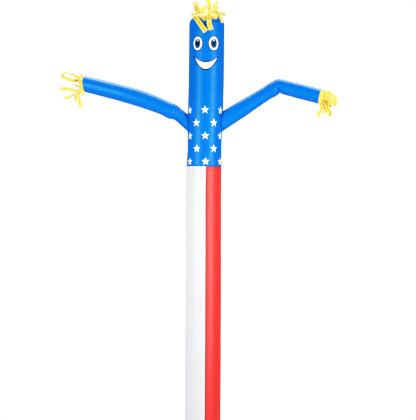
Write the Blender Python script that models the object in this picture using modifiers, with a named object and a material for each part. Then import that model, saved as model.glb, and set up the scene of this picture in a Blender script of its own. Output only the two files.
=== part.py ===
"""Inflatable air dancer: a tall tube of coated nylon that a blower fills from below.

Nine cut and sewn pieces: the blue head and chest tube, its round crown, two sleeves, the white and
the red half of the lower body, two gathered cuffs with streamers for hands, and a ruffled mop of
streamers for hair. Metres, +Z up, standing on its open mouth at the origin, face towards -Y.
"""
import math
from collections import namedtuple

import bmesh
import bpy
from mathutils import Vector

# Driving sizes
CLOTH = 0.002
HEM_CLOTH = 0.004
HEM_HEIGHT = 0.040
GAP = 0.0003
SIDE_SEAM_GAP = 0.0010
MERGE = 0.00001
BODY_COLUMNS = 40
SLEEVE_COLUMNS = 20
SLEEVE_STEPS = 2
STREAMER_STEPS = 2
ROOT_DEPTH = 2 * CLOTH
SMOOTH_ANGLE = math.radians(50)

# The body's sections from the mouth up: how far the axis has drifted along +X, and the outer radius
Section = namedtuple("Section", "height shift radius")
CHEST_SEAM = 4.143
LOWER_BODY = [
    Section(0.000, 0.000, 0.2310),
    Section(HEM_HEIGHT, 0.000, 0.2310),
    Section(HEM_HEIGHT + 0.001, 0.000, 0.2310),
    Section(0.900, 0.005, 0.2315),
    Section(1.750, 0.010, 0.2310),
    Section(3.000, 0.015, 0.2300),
    Section(3.800, 0.016, 0.2310),
    Section(CHEST_SEAM - GAP / 2, 0.021, 0.2270),
]
HEAD_SHIFT = 0.058
UPPER_BODY = [
    Section(CHEST_SEAM + GAP / 2, 0.021, 0.2270),
    Section(4.400, 0.028, 0.2225),
    Section(4.700, 0.036, 0.2285),
    Section(5.015, 0.0445, 0.2300),
    Section(5.537, 0.0537, 0.2300),
    Section(6.000, HEAD_SHIFT, 0.2300),
    Section(6.025, HEAD_SHIFT, 0.2265),
    Section(6.046, HEAD_SHIFT, 0.2180),
    Section(6.066, HEAD_SHIFT, 0.2060),
    Section(6.082, HEAD_SHIFT, 0.1890),
]
CHEST = UPPER_BODY[:5]
CROWN_TOP = 6.098
CROWN_LIP = 0.008
CROWN_FLAT_RADIUS = 0.110
CROWN_EASE_RADIUS = 0.160
CROWN_EASE_DROP = 0.002
RED_PANEL_START = math.radians(-84)

# The sleeves' sections from inside the body to the wrist
SleeveRow = namedtuple("SleeveRow", "x y z radius")
LEFT_SLEEVE = [
    [
        SleeveRow(-0.115, 0.000, 4.650, 0.088),
        SleeveRow(-0.195, 0.000, 4.722, 0.088),
        SleeveRow(-0.319, 0.000, 4.825, 0.081),
        SleeveRow(-0.423, 0.003, 4.882, 0.094),
        SleeveRow(-0.750, 0.020, 5.012, 0.107),
        SleeveRow(-1.079, 0.065, 5.114, 0.107),
        SleeveRow(-1.530, 0.175, 5.233, 0.103),
    ],
]
RIGHT_SLEEVE = [
    [
        SleeveRow(0.110, 0.000, 4.636, 0.112),
        SleeveRow(0.266, 0.000, 4.737, 0.110),
        SleeveRow(0.556, 0.000, 4.924, 0.098),
        SleeveRow(0.818, 0.000, 5.090, 0.091),
        SleeveRow(0.925, 0.000, 5.155, 0.096),
        SleeveRow(0.995, 0.000, 5.198, 0.090),
    ],
    [
        SleeveRow(0.995, 0.000, 5.198, 0.090),
        SleeveRow(1.080, -0.020, 5.177, 0.095),
        SleeveRow(1.296, -0.069, 5.116, 0.097),
        SleeveRow(1.517, -0.121, 5.055, 0.096),
    ],
]
WRIST_HEM = 0.014
Sleeve = namedtuple("Sleeve", "rings wrist wrist_radius wrist_direction")
LEFT_WRIST_DIRECTION = Vector((-0.948, 0.309, -0.080)).normalized()
RIGHT_WRIST_DIRECTION = Vector((0.945, -0.220, -0.243)).normalized()

# The gathered cuff from its seam outwards: reach along the arm, share of the wrist radius, pleat depth
CuffRow = namedtuple("CuffRow", "reach share pleat")
CUFF = [
    CuffRow(GAP, 1.00, 0.00),
    CuffRow(0.022, 1.00, 0.00),
    CuffRow(0.042, 0.95, 0.05),
    CuffRow(0.056, 0.80, 0.06),
    CuffRow(0.066, 0.52, 0.06),
    CuffRow(0.070, 0.22, 0.03),
    CuffRow(0.070, 0.00, 0.00),
]

# The ruffled cap under the hair, from its sewn middle, over the head's shoulder, to where it hangs free
CapRow = namedtuple("CapRow", "radius height ruffle")
CAP = [
    CapRow(0.0000, CROWN_TOP + CLOTH + GAP, 0.000),
    CapRow(0.0300, CROWN_TOP + CLOTH + GAP, 0.000),
    CapRow(0.0650, 6.132, 0.002),
    CapRow(0.1050, 6.145, 0.004),
    CapRow(0.1450, 6.131, 0.005),
    CapRow(0.1780, 6.108, 0.006),
    CapRow(0.2010, 6.088, 0.006),
    CapRow(0.2180, 6.068, 0.006),
    CapRow(0.2310, 6.047, 0.006),
    CapRow(0.2390, 6.026, 0.006),
    CapRow(0.2420, 5.998, 0.006),
]
CAP_SHARES = [1.0, 0.92, 0.84, 0.74, 0.62, 0.48, 0.34, 0.22, 0.11, 0.0]
CAP_REACH = 0.254
CAP_OVAL = 0.046
CAP_SCALLOP = 0.010
CAP_LOBES = 10
CAP_LOBE_BEARING = math.radians(-96.6)

# Streamers. A hand's root is a clock angle round its cuff, 0 at the top and 90 towards the viewer, and
# a reach along it, and its points are measured from the wrist's middle. A hair's root is a bearing and
# a reach along the cap, and its points are measured from the middle of the crown. Turns are how far the
# strip's broad side faces away from -Y, in degrees, at even steps from root to tip.
Streamer = namedtuple("Streamer", "angle reach root_width tip_width turns points")
LEFT_STREAMERS = [
    Streamer(8, 0.052, 0.036, 0.042, (30, 50, 84, 40, 15, 15, 20), [
        (-0.110, 0.004, 0.100), (-0.183, -0.008, 0.142), (-0.238, -0.012, 0.158), (-0.288, -0.006, 0.136),
        (-0.302, 0.006, 0.108), (-0.256, 0.024, 0.080), (-0.200, 0.032, 0.062), (-0.146, 0.030, 0.050)]),
    Streamer(112, 0.062, 0.026, 0.028, (20, 40, 60), [
        (-0.098, -0.022, -0.030), (-0.122, -0.036, -0.014), (-0.146, -0.040, 0.000),
        (-0.174, -0.036, -0.006)]),
    Streamer(160, 0.060, 0.032, 0.044, (50, 20, 0), [
        (-0.108, -0.010, -0.078), (-0.148, -0.022, -0.086), (-0.178, -0.026, -0.070),
        (-0.240, -0.020, -0.060), (-0.332, -0.004, -0.060)]),
    Streamer(178, 0.055, 0.030, 0.036, (60, 30, 10), [
        (-0.104, 0.022, -0.112), (-0.156, 0.012, -0.134), (-0.200, 0.004, -0.164), (-0.242, 0.000, -0.174),
        (-0.280, 0.004, -0.162)]),
    Streamer(198, 0.050, 0.030, 0.038, (20, 10, 20), [
        (-0.082, 0.056, -0.112), (-0.104, 0.064, -0.156), (-0.114, 0.064, -0.224)]),
    Streamer(146, 0.046, 0.034, 0.046, (15, -15, 10), [
        (-0.072, -0.050, -0.108), (-0.080, -0.058, -0.160), (-0.066, -0.056, -0.240),
        (-0.054, -0.050, -0.318)]),
    Streamer(124, 0.036, 0.034, 0.036, (0, 10, 0), [
        (-0.030, -0.094, -0.096), (-0.014, -0.098, -0.146)]),
    Streamer(300, 0.055, 0.034, 0.034, (10, 20, 10), [
        (-0.110, 0.116, 0.060), (-0.162, 0.138, 0.062), (-0.214, 0.144, 0.074), (-0.262, 0.144, 0.092)]),
    Streamer(245, 0.055, 0.036, 0.042, (-20, 0, 20), [
        (-0.096, 0.122, -0.070), (-0.126, 0.138, -0.130), (-0.142, 0.140, -0.204)]),
    Streamer(350, 0.040, 0.028, 0.030, (15, 0, 0), [
        (-0.044, 0.034, 0.116), (-0.052, 0.040, 0.134)]),
]
RIGHT_STREAMERS = [
    Streamer(352, 0.052, 0.050, 0.060, (20, 35, 20), [
        (0.102, -0.008, 0.072), (0.150, -0.016, 0.050), (0.190, -0.020, 0.014), (0.208, -0.016, -0.030),
        (0.200, -0.012, -0.076)]),
    Streamer(50, 0.055, 0.050, 0.066, (0, -15, 0), [
        (0.106, -0.086, 0.034), (0.146, -0.098, 0.000), (0.170, -0.098, -0.046), (0.178, -0.090, -0.094),
        (0.174, -0.082, -0.136)]),
    Streamer(92, 0.055, 0.050, 0.064, (0, 15, 0), [
        (0.098, -0.122, -0.020), (0.132, -0.144, -0.046), (0.150, -0.142, -0.088),
        (0.146, -0.132, -0.126)]),
    Streamer(140, 0.058, 0.032, 0.042, (10, -20, 20), [
        (0.078, -0.078, -0.108), (0.086, -0.086, -0.150), (0.116, -0.086, -0.192), (0.128, -0.082, -0.228),
        (0.106, -0.080, -0.260)]),
    Streamer(180, 0.048, 0.036, 0.042, (-20, 10, 0), [
        (0.036, -0.026, -0.126), (0.050, -0.030, -0.168), (0.048, -0.026, -0.236)]),
    Streamer(150, 0.024, 0.030, 0.042, (10, 20, 0), [
        (0.004, -0.082, -0.124), (0.006, -0.090, -0.168), (-0.014, -0.090, -0.214),
        (-0.046, -0.084, -0.270)]),
    Streamer(318, 0.055, 0.046, 0.056, (0, 20, 0), [
        (0.112, 0.052, 0.050), (0.158, 0.060, 0.014), (0.184, 0.058, -0.044)]),
    Streamer(262, 0.055, 0.040, 0.054, (-10, 0, 10), [
        (0.108, 0.098, -0.010), (0.150, 0.112, -0.056), (0.156, 0.108, -0.122)]),
    Streamer(220, 0.052, 0.036, 0.042, (0, 20, 0), [
        (0.066, 0.074, -0.106), (0.088, 0.084, -0.158), (0.106, 0.080, -0.206)]),
    Streamer(60, 0.069, 0.038, 0.060, (0, 10, 0), [
        (0.116, -0.048, -0.004), (0.150, -0.054, -0.050), (0.160, -0.048, -0.106)]),
    Streamer(135, 0.066, 0.038, 0.054, (0, -10, 0), [
        (0.090, -0.026, -0.074), (0.112, -0.022, -0.114), (0.120, -0.024, -0.150)]),
]
HAIR_STREAMERS = [
    Streamer(-140, 0.195, 0.046, 0.056, (55, 25, 8, 6), [
        (-0.162, -0.170, -0.013), (-0.132, -0.220, -0.056), (-0.096, -0.246, -0.105),
        (-0.054, -0.260, -0.163), (-0.013, -0.260, -0.219)]),
    Streamer(-82, 0.170, 0.046, 0.052, (0, 5, 0), [
        (0.024, -0.200, 0.028), (0.028, -0.252, -0.050), (0.034, -0.260, -0.128), (0.056, -0.256, -0.196)]),
    Streamer(-50, 0.090, 0.040, 0.036, (20, -10, -40), [
        (0.074, -0.086, 0.078), (0.106, -0.096, 0.074), (0.144, -0.118, 0.036), (0.182, -0.146, -0.028),
        (0.202, -0.162, -0.094)]),
    Streamer(172, 0.112, 0.044, 0.066, (0, 20, 0), [
        (-0.122, 0.018, 0.076), (-0.138, 0.022, 0.130), (-0.160, 0.026, 0.196)]),
    Streamer(-157, 0.110, 0.040, 0.046, (20, 40, 20), [
        (-0.124, -0.062, 0.052), (-0.162, -0.080, 0.032), (-0.204, -0.086, 0.022)]),
    Streamer(-150, 0.072, 0.046, 0.058, (0, 20, 30), [
        (-0.062, -0.044, 0.076), (-0.038, -0.050, 0.108), (0.000, -0.052, 0.138)]),
    Streamer(-5, 0.050, 0.042, 0.046, (0, 25, 0), [
        (0.038, -0.004, 0.106), (0.030, -0.004, 0.168), (0.018, -0.002, 0.234)]),
    Streamer(18, 0.092, 0.038, 0.044, (0, 20, 0), [
        (0.086, 0.034, 0.104), (0.106, 0.040, 0.160), (0.136, 0.044, 0.206)]),
    Streamer(12, 0.135, 0.034, 0.036, (30, 50, 30), [
        (0.150, 0.026, 0.060), (0.190, 0.030, 0.052), (0.240, 0.028, 0.026)]),
    Streamer(122, 0.170, 0.046, 0.052, (0, -10, 0), [
        (-0.100, 0.180, 0.022), (-0.120, 0.236, -0.042), (-0.114, 0.250, -0.126)]),
    Streamer(84, 0.170, 0.046, 0.052, (0, 5, 0), [
        (0.016, 0.204, 0.026), (0.022, 0.256, -0.046), (0.020, 0.262, -0.142)]),
    Streamer(50, 0.130, 0.040, 0.044, (0, 20, 0), [
        (0.096, 0.116, 0.084), (0.118, 0.124, 0.124), (0.146, 0.122, 0.150)]),
    Streamer(132, 0.120, 0.042, 0.048, (0, -20, 0), [
        (-0.088, 0.096, 0.084), (-0.118, 0.106, 0.128), (-0.142, 0.112, 0.168)]),
]

# Colours, linear
BLUE = (0.000, 0.240, 0.840, 1.0)
WHITE = (0.900, 0.905, 0.915, 1.0)
RED = (1.000, 0.105, 0.090, 1.0)
YELLOW = (1.000, 0.720, 0.060, 1.0)
NYLON_ROUGHNESS = 0.55


def clear_scene():
    for old in list(bpy.data.objects):
        bpy.data.objects.remove(old)


def collection(name):
    made = bpy.data.collections.new(name)
    bpy.context.scene.collection.children.link(made)
    return made


def nylon(name, colour):
    material = bpy.data.materials.new(name)
    material.use_nodes = True
    shader = material.node_tree.nodes["Principled BSDF"]
    shader.inputs["Base Color"].default_value = colour
    shader.inputs["Roughness"].default_value = NYLON_ROUGHNESS
    shader.inputs["Metallic"].default_value = 0.0
    return material


def cloth_object(name, shape, material, home):
    mesh = bpy.data.meshes.new(name)
    shape.to_mesh(mesh)
    shape.free()
    mesh.shade_smooth()
    mesh.set_sharp_from_angle(angle=SMOOTH_ANGLE)
    piece = bpy.data.objects.new(name, mesh)
    home.objects.link(piece)
    if material:
        mesh.materials.append(material)
    return piece


def add_grid(shape, columns, rows, place):
    """A flat cut of cloth in squares, whose points place(column, row) puts where they hang."""
    made = bmesh.ops.create_grid(shape, x_segments=columns, y_segments=rows, size=1.0)
    for vertex in made["verts"]:
        column = round((vertex.co.x + 1) / 2 * columns)
        row = round((vertex.co.y + 1) / 2 * rows)
        vertex.co = place(column, row)
    return made["verts"]


def rolled(columns, rows, place):
    """A grid rolled into a tube, its two side edges sewn into one."""
    shape = bmesh.new()
    add_grid(shape, columns, rows, place)
    bmesh.ops.remove_doubles(shape, verts=shape.verts, dist=MERGE)
    return shape


def thicken(piece, thickness, offset):
    solidify = piece.modifiers.new("Cloth", "SOLIDIFY")
    solidify.thickness = thickness
    solidify.offset = offset
    return solidify


def boolean(piece, other, operation):
    modifier = piece.modifiers.new(other.name, "BOOLEAN")
    modifier.operation = operation
    modifier.solver = "EXACT"
    modifier.object = other


def guide(piece):
    piece.hide_render = True
    piece.display_type = "WIRE"
    return piece


def body_point(section, bearing):
    return Vector((
        section.shift + section.radius * math.cos(bearing),
        section.radius * math.sin(bearing),
        section.height,
    ))


def body_rows(sections, start, sweep, columns):
    def place(column, row):
        return body_point(sections[row], start + sweep * column / columns)
    return place


def make_blue_tube(material, home):
    place = body_rows(UPPER_BODY, 0.0, math.tau, BODY_COLUMNS)
    tube = cloth_object("blue_tube", rolled(BODY_COLUMNS, len(UPPER_BODY) - 1, place), material, home)
    thicken(tube, CLOTH, -1.0)
    return tube


def make_crown(material, home):
    """The round top panel: its turned-down lip runs on in line with the tube's shoulder."""
    below, edge = UPPER_BODY[-2], UPPER_BODY[-1]
    line = Vector((edge.radius - below.radius, edge.height - below.height)).normalized()
    start = Vector((edge.radius, edge.height)) + line * GAP
    lip = start + line * CROWN_LIP
    sections = [
        Section(start.y, HEAD_SHIFT, start.x),
        Section(lip.y, HEAD_SHIFT, lip.x),
        Section(CROWN_TOP - CROWN_EASE_DROP, HEAD_SHIFT, CROWN_EASE_RADIUS),
        Section(CROWN_TOP, HEAD_SHIFT, CROWN_FLAT_RADIUS),
        Section(CROWN_TOP, HEAD_SHIFT, 0.0),
    ]
    place = body_rows(sections, 0.0, math.tau, BODY_COLUMNS)
    crown = cloth_object("crown", rolled(BODY_COLUMNS, len(sections) - 1, place), material, home)
    thicken(crown, CLOTH, -1.0)


def make_lower_panel(name, start, material, home):
    """Half of the lower body, from seam to seam, with its doubled hem at the mouth."""
    inset = SIDE_SEAM_GAP / 2 / LOWER_BODY[0].radius
    columns = BODY_COLUMNS // 2
    place = body_rows(LOWER_BODY, start + inset, math.pi - 2 * inset, columns)
    shape = bmesh.new()
    add_grid(shape, columns, len(LOWER_BODY) - 1, place)
    panel = cloth_object(name, shape, material, home)
    hem = panel.vertex_groups.new(name="hem")
    hem.add([v.index for v in panel.data.vertices if v.co.z <= HEM_HEIGHT + MERGE], 1.0, "REPLACE")
    solidify = thicken(panel, HEM_CLOTH, -1.0)
    solidify.vertex_group = hem.name
    solidify.thickness_vertex_group = CLOTH / HEM_CLOTH


def smooth(rows, steps):
    """Points of a Catmull-Rom curve through the rows, ends included."""
    knots = [Vector(row) for row in rows]
    knots = [2 * knots[0] - knots[1]] + knots + [2 * knots[-1] - knots[-2]]
    points = []
    for index in range(1, len(knots) - 2):
        a, b, c, d = knots[index - 1:index + 3]
        for step in range(steps):
            t = step / steps
            square = (2 * a - 5 * b + 4 * c - d) * t**2
            cube = (3 * b - a - 3 * c + d) * t**3
            points.append((2 * b + (c - a) * t + square + cube) / 2)
    points.append(knots[-2])
    return points


def ring(centre, along, radius, stretch, columns):
    """A circle round the line along, made taller by stretch where a bend cuts it on the slant."""
    up = (Vector((0, 0, 1)) - along * along.z).normalized()
    out = along.cross(up)
    points = []
    for column in range(columns):
        clock = math.tau * column / columns
        points.append(centre + up * math.cos(clock) * radius * stretch + out * math.sin(clock) * radius)
    return points


def lay_out_sleeve(stretches, wrist_direction):
    """Rings of cloth along a sleeve, the last two square to the wrist."""
    path = []
    for stretch in stretches:
        part = smooth(stretch, SLEEVE_STEPS)
        path += part[1:] if path else part
    hem_start = path[-1]
    wrist = hem_start.xyz + wrist_direction * WRIST_HEM
    path.append(Vector((*wrist, hem_start.w)))
    rings = []
    for index, row in enumerate(path):
        if index >= len(path) - 2:
            rings.append(ring(row.xyz, wrist_direction, row.w, 1.0, SLEEVE_COLUMNS))
            continue
        after = (path[index + 1].xyz - row.xyz).normalized()
        before = (row.xyz - path[index - 1].xyz).normalized() if index else after
        along = (before + after).normalized()
        rings.append(ring(row.xyz, along, row.w, 1 / along.dot(after), SLEEVE_COLUMNS))
    return Sleeve(rings, wrist, hem_start.w, wrist_direction)


def rolled_rings(rings):
    def place(column, row):
        return rings[row][column % SLEEVE_COLUMNS]
    return rolled(SLEEVE_COLUMNS, len(rings) - 1, place)


def make_sleeve(name, sleeve, body_cutter, material, home):
    piece = cloth_object(name, rolled_rings(sleeve.rings), material, home)
    thicken(piece, CLOTH, -1.0)
    boolean(piece, body_cutter, "DIFFERENCE")


def make_body_cutter(home):
    """The chest filled solid and a gap wider, which trims the sleeves' roots to its surface."""
    wider = GAP / math.cos(math.pi / BODY_COLUMNS)
    sections = [s._replace(radius=s.radius + wider) for s in CHEST]
    shape = rolled(BODY_COLUMNS, len(sections) - 1, body_rows(sections, 0.0, math.tau, BODY_COLUMNS))
    bmesh.ops.holes_fill(shape, edges=shape.edges, sides=BODY_COLUMNS)
    return guide(cloth_object("chest_cutter", shape, None, home))


def make_armhole_cutter(name, sleeve_row, next_row, home):
    """A plug of the sleeve's bore through one wall of the chest."""
    inner, outer = Vector(sleeve_row[:3]), Vector(next_row[:3])
    along = (outer - inner).normalized()
    bore = next_row.radius - CLOTH
    shape = bmesh.new()
    bmesh.ops.create_cone(
        shape, cap_ends=True, segments=SLEEVE_COLUMNS, radius1=bore, radius2=bore,
        depth=2 * (outer - inner).length,
    )
    cutter = guide(cloth_object(name, shape, None, home))
    cutter.location = outer
    cutter.rotation_euler = along.to_track_quat("Z", "X").to_euler()
    return cutter


def cuff_point(sleeve, clock, reach):
    """A point of the cuff's outer side, with its pleats left out."""
    direction = sleeve.wrist_direction
    for low, high in zip(CUFF, CUFF[1:]):
        if reach <= high.reach:
            part = (reach - low.reach) / max(high.reach - low.reach, MERGE)
            share = low.share + (high.share - low.share) * part
            break
    up = (Vector((0, 0, 1)) - direction * direction.z).normalized()
    towards_viewer = direction.cross(up)
    if towards_viewer.y > 0:
        towards_viewer = -towards_viewer
    side = up * math.cos(clock) + towards_viewer * math.sin(clock)
    return sleeve.wrist + direction * reach + side * sleeve.wrist_radius * share


def make_cuff(name, sleeve, material, home):
    rings = []
    for row in CUFF:
        centre = sleeve.wrist + sleeve.wrist_direction * row.reach
        circle = ring(centre, sleeve.wrist_direction, sleeve.wrist_radius * row.share, 1.0, SLEEVE_COLUMNS)
        pleats = [1 - row.pleat * (column % 2) for column in range(SLEEVE_COLUMNS)]
        rings.append([centre + (point - centre) * pleat for point, pleat in zip(circle, pleats)])
    cuff = cloth_object(name, rolled_rings(rings), material, home)
    thicken(cuff, CLOTH, -1.0)
    return cuff


def between(values, share):
    """The value at a share of the way along evenly spaced ones."""
    place = share * (len(values) - 1)
    index = min(int(place), len(values) - 2)
    return values[index] + (values[index + 1] - values[index]) * (place - index)


def add_streamer(shape, streamer, points):
    """A flat strip along its points, turned about its own line."""
    line = smooth(points, STREAMER_STEPS)
    edges = []
    for index, point in enumerate(line):
        share = index / (len(line) - 1)
        ahead = line[min(index + 1, len(line) - 1)] - line[max(index - 1, 0)]
        along = ahead.normalized()
        facing = Vector((0, -1, 0)) - along * -along.y
        across = along.cross(facing).normalized()
        turn = math.radians(between(streamer.turns, share))
        half = across * math.cos(turn) + along.cross(across) * math.sin(turn)
        half *= (streamer.root_width + (streamer.tip_width - streamer.root_width) * share) / 2
        edges.append((point - half, point + half))

    def place(column, row):
        return edges[row][column]

    add_grid(shape, 1, len(line) - 1, place)


def make_streamers(name, streamers, root, middle, home):
    shape = bmesh.new()
    for streamer in streamers:
        points = [root(streamer)] + [middle + Vector(point) for point in streamer.points]
        add_streamer(shape, streamer, points)
    strips = cloth_object(name, shape, None, home)
    thicken(strips, CLOTH, 0.0)
    return guide(strips)


def make_hand(name, sleeve, streamers, material, home, guides):
    cuff = make_cuff(name, sleeve, material, home)
    middle = sleeve.wrist + sleeve.wrist_direction * CUFF[1].reach

    def root(streamer):
        """A streamer's root, just under the cuff's outer side."""
        outside = cuff_point(sleeve, math.radians(streamer.angle), streamer.reach)
        return outside + (middle - outside).normalized() * ROOT_DEPTH

    boolean(cuff, make_streamers(name + "_streamers", streamers, root, sleeve.wrist, guides), "UNION")


def cap_profile(reach):
    """Radius, height and ruffle at a distance along the cap's cloth from its middle."""
    for low, high in zip(CAP, CAP[1:]):
        length = math.hypot(high.radius - low.radius, high.height - low.height)
        if reach <= length:
            break
        reach -= length
    return Vector(low).lerp(Vector(high), min(reach / length, 1.0))


def cap_point(bearing, reach):
    radius, height, ruffle = cap_profile(reach)
    radius += ruffle * math.cos(CAP_LOBES * (bearing - CAP_LOBE_BEARING))
    return Vector((HEAD_SHIFT + radius * math.cos(bearing), radius * math.sin(bearing), height))


def cap_edge(bearing):
    """How far the cloth reaches: further to the front and back, and further at each scallop."""
    oval = -CAP_OVAL * math.cos(2 * bearing)
    return CAP_REACH + oval + CAP_SCALLOP * math.cos(CAP_LOBES * (bearing - CAP_LOBE_BEARING))


def cap_root(streamer):
    """A streamer's root, just under the cap's upper side."""
    return cap_point(math.radians(streamer.angle), streamer.reach) - Vector((0, 0, ROOT_DEPTH))


def make_hair(material, home, guides):
    def place(column, row):
        bearing = math.tau * (column % BODY_COLUMNS) / BODY_COLUMNS
        return cap_point(bearing, cap_edge(bearing) * CAP_SHARES[row])

    cap = cloth_object("hair", rolled(BODY_COLUMNS, len(CAP_SHARES) - 1, place), material, home)
    thicken(cap, CLOTH, -1.0)
    middle = Vector((HEAD_SHIFT, 0, CROWN_TOP))
    boolean(cap, make_streamers("hair_streamers", HAIR_STREAMERS, cap_root, middle, guides), "UNION")


def main():
    clear_scene()
    parts = collection("inflatable_air_dancer")
    guides = collection("cutters")
    blue = nylon("blue_nylon", BLUE)
    white = nylon("white_nylon", WHITE)
    red = nylon("red_nylon", RED)
    yellow = nylon("yellow_nylon", YELLOW)

    tube = make_blue_tube(blue, parts)
    make_crown(blue, parts)
    make_lower_panel("red_panel", RED_PANEL_START, red, parts)
    make_lower_panel("white_panel", RED_PANEL_START + math.pi, white, parts)

    chest = make_body_cutter(guides)
    left = lay_out_sleeve(LEFT_SLEEVE, LEFT_WRIST_DIRECTION)
    right = lay_out_sleeve(RIGHT_SLEEVE, RIGHT_WRIST_DIRECTION)
    make_sleeve("arm_left", left, chest, blue, parts)
    make_sleeve("arm_right", right, chest, blue, parts)
    boolean(tube, make_armhole_cutter("left_armhole", *LEFT_SLEEVE[0][:2], guides), "DIFFERENCE")
    boolean(tube, make_armhole_cutter("right_armhole", *RIGHT_SLEEVE[0][:2], guides), "DIFFERENCE")

    make_hand("tassel_left", left, LEFT_STREAMERS, yellow, parts, guides)
    make_hand("tassel_right", right, RIGHT_STREAMERS, yellow, parts, guides)
    make_hair(yellow, parts, guides)


main()
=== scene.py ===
"""Looks for an inflatable air dancer of coated nylon, standing in a plain light studio.

Each cloth is drawn again as a fine thin sheet in the place of its solid, with its seams, puckers,
creases and ruffles, and is given a nylon with its print. Metres, +Z up, the face towards -Y.
"""
import math
from bisect import bisect
from collections import namedtuple

import bmesh
import bpy
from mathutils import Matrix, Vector, noise


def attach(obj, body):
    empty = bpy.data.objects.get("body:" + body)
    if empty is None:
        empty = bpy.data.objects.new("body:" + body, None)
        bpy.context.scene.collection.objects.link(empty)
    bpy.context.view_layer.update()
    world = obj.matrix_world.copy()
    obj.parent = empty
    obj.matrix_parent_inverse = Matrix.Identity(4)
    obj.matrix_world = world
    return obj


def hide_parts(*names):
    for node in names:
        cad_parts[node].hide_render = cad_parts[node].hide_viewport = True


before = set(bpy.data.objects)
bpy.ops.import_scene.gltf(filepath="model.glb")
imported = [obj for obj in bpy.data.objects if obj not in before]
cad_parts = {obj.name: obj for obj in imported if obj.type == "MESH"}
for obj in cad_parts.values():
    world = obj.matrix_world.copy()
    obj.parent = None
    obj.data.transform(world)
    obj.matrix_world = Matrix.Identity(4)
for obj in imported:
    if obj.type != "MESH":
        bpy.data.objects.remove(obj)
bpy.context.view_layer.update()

# The same sizes as the solids'
Section = namedtuple("Section", "height shift radius")
CHEST_SEAM = 4.143
SEAM_GAP = 0.0003
HEM_HEIGHT = 0.040
LOWER_BODY = [
    Section(0.000, 0.000, 0.2310),
    Section(0.900, 0.005, 0.2315),
    Section(1.750, 0.010, 0.2310),
    Section(3.000, 0.015, 0.2300),
    Section(3.800, 0.016, 0.2310),
    Section(CHEST_SEAM, 0.021, 0.2270),
]
HEAD_SHIFT = 0.058
UPPER_BODY = [
    Section(CHEST_SEAM, 0.021, 0.2270),
    Section(4.400, 0.028, 0.2225),
    Section(4.700, 0.036, 0.2285),
    Section(5.015, 0.0445, 0.2300),
    Section(5.537, 0.0537, 0.2300),
    Section(6.000, HEAD_SHIFT, 0.2300),
    Section(6.025, HEAD_SHIFT, 0.2265),
    Section(6.046, HEAD_SHIFT, 0.2180),
    Section(6.066, HEAD_SHIFT, 0.2060),
    Section(6.082, HEAD_SHIFT, 0.1890),
]
CROWN_TOP = 6.098
CrownRow = namedtuple("CrownRow", "radius height")
CROWN = [
    CrownRow(0.1885, 6.0825),
    CrownRow(0.1815, 6.0890),
    CrownRow(0.1600, 6.0955),
    CrownRow(0.1100, 6.0975),
    CrownRow(0.0000, CROWN_TOP),
]
CLOTH_RADIUS = 0.229
FRONT = math.radians(-90)
BACK = math.radians(90)
RED_PANEL_START = math.radians(-84)

# Each sleeve's centre line and radius, in stretches that meet at an elbow
SleeveRow = namedtuple("SleeveRow", "x y z radius")
LEFT_SLEEVE = [
    [
        SleeveRow(-0.115, 0.000, 4.650, 0.088),
        SleeveRow(-0.195, 0.000, 4.722, 0.088),
        SleeveRow(-0.319, 0.000, 4.825, 0.081),
        SleeveRow(-0.423, 0.003, 4.882, 0.094),
        SleeveRow(-0.750, 0.020, 5.012, 0.107),
        SleeveRow(-1.079, 0.065, 5.114, 0.107),
        SleeveRow(-1.530, 0.175, 5.233, 0.103),
    ],
]
RIGHT_SLEEVE = [
    [
        SleeveRow(0.110, 0.000, 4.636, 0.112),
        SleeveRow(0.266, 0.000, 4.737, 0.110),
        SleeveRow(0.556, 0.000, 4.924, 0.098),
        SleeveRow(0.818, 0.000, 5.090, 0.091),
        SleeveRow(0.925, 0.000, 5.155, 0.096),
        SleeveRow(0.995, 0.000, 5.198, 0.090),
    ],
    [
        SleeveRow(0.995, 0.000, 5.198, 0.090),
        SleeveRow(1.080, -0.020, 5.177, 0.095),
        SleeveRow(1.296, -0.069, 5.116, 0.097),
        SleeveRow(1.517, -0.121, 5.055, 0.096),
    ],
]
WRIST_HEM = 0.014
LEFT_WRIST_DIRECTION = Vector((-0.948, 0.309, -0.080)).normalized()
RIGHT_WRIST_DIRECTION = Vector((0.945, -0.220, -0.243)).normalized()

# Reach past the wrist's hem, share of the wrist's radius, and depth of the pleats as a share of it
CuffRow = namedtuple("CuffRow", "reach share pleat")
CUFF = [
    CuffRow(0.001, 1.00, 0.000),
    CuffRow(0.010, 1.02, 0.010),
    CuffRow(0.022, 1.01, 0.025),
    CuffRow(0.042, 0.95, 0.050),
    CuffRow(0.056, 0.80, 0.060),
    CuffRow(0.066, 0.52, 0.060),
    CuffRow(0.070, 0.22, 0.030),
    CuffRow(0.070, 0.02, 0.000),
]
CUFF_ROOT_REACH = 0.022

# The hair's cap from its middle to its edge
CapRow = namedtuple("CapRow", "radius height ruffle")
CAP = [
    CapRow(0.0000, 6.1003, 0.000),
    CapRow(0.0300, 6.1003, 0.000),
    CapRow(0.0650, 6.132, 0.002),
    CapRow(0.1050, 6.145, 0.004),
    CapRow(0.1450, 6.131, 0.005),
    CapRow(0.1780, 6.108, 0.006),
    CapRow(0.2010, 6.088, 0.006),
    CapRow(0.2180, 6.068, 0.006),
    CapRow(0.2310, 6.047, 0.006),
    CapRow(0.2390, 6.026, 0.006),
    CapRow(0.2420, 5.998, 0.006),
]
CAP_REACH = 0.254
CAP_OVAL = 0.046
CAP_SCALLOP = 0.010
# Width of the painted highlight along the cap's rim
CAP_LIT_RIM = 0.006
CAP_LOBES = 10
CAP_LOBE_BEARING = math.radians(-96.6)

# Streamers: roots by clock angle or bearing and reach, points from the wrist or crown, and the depth of
# each one's painted orange shade
Streamer = namedtuple("Streamer", "angle reach root_width tip_width turns points gold")


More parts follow.
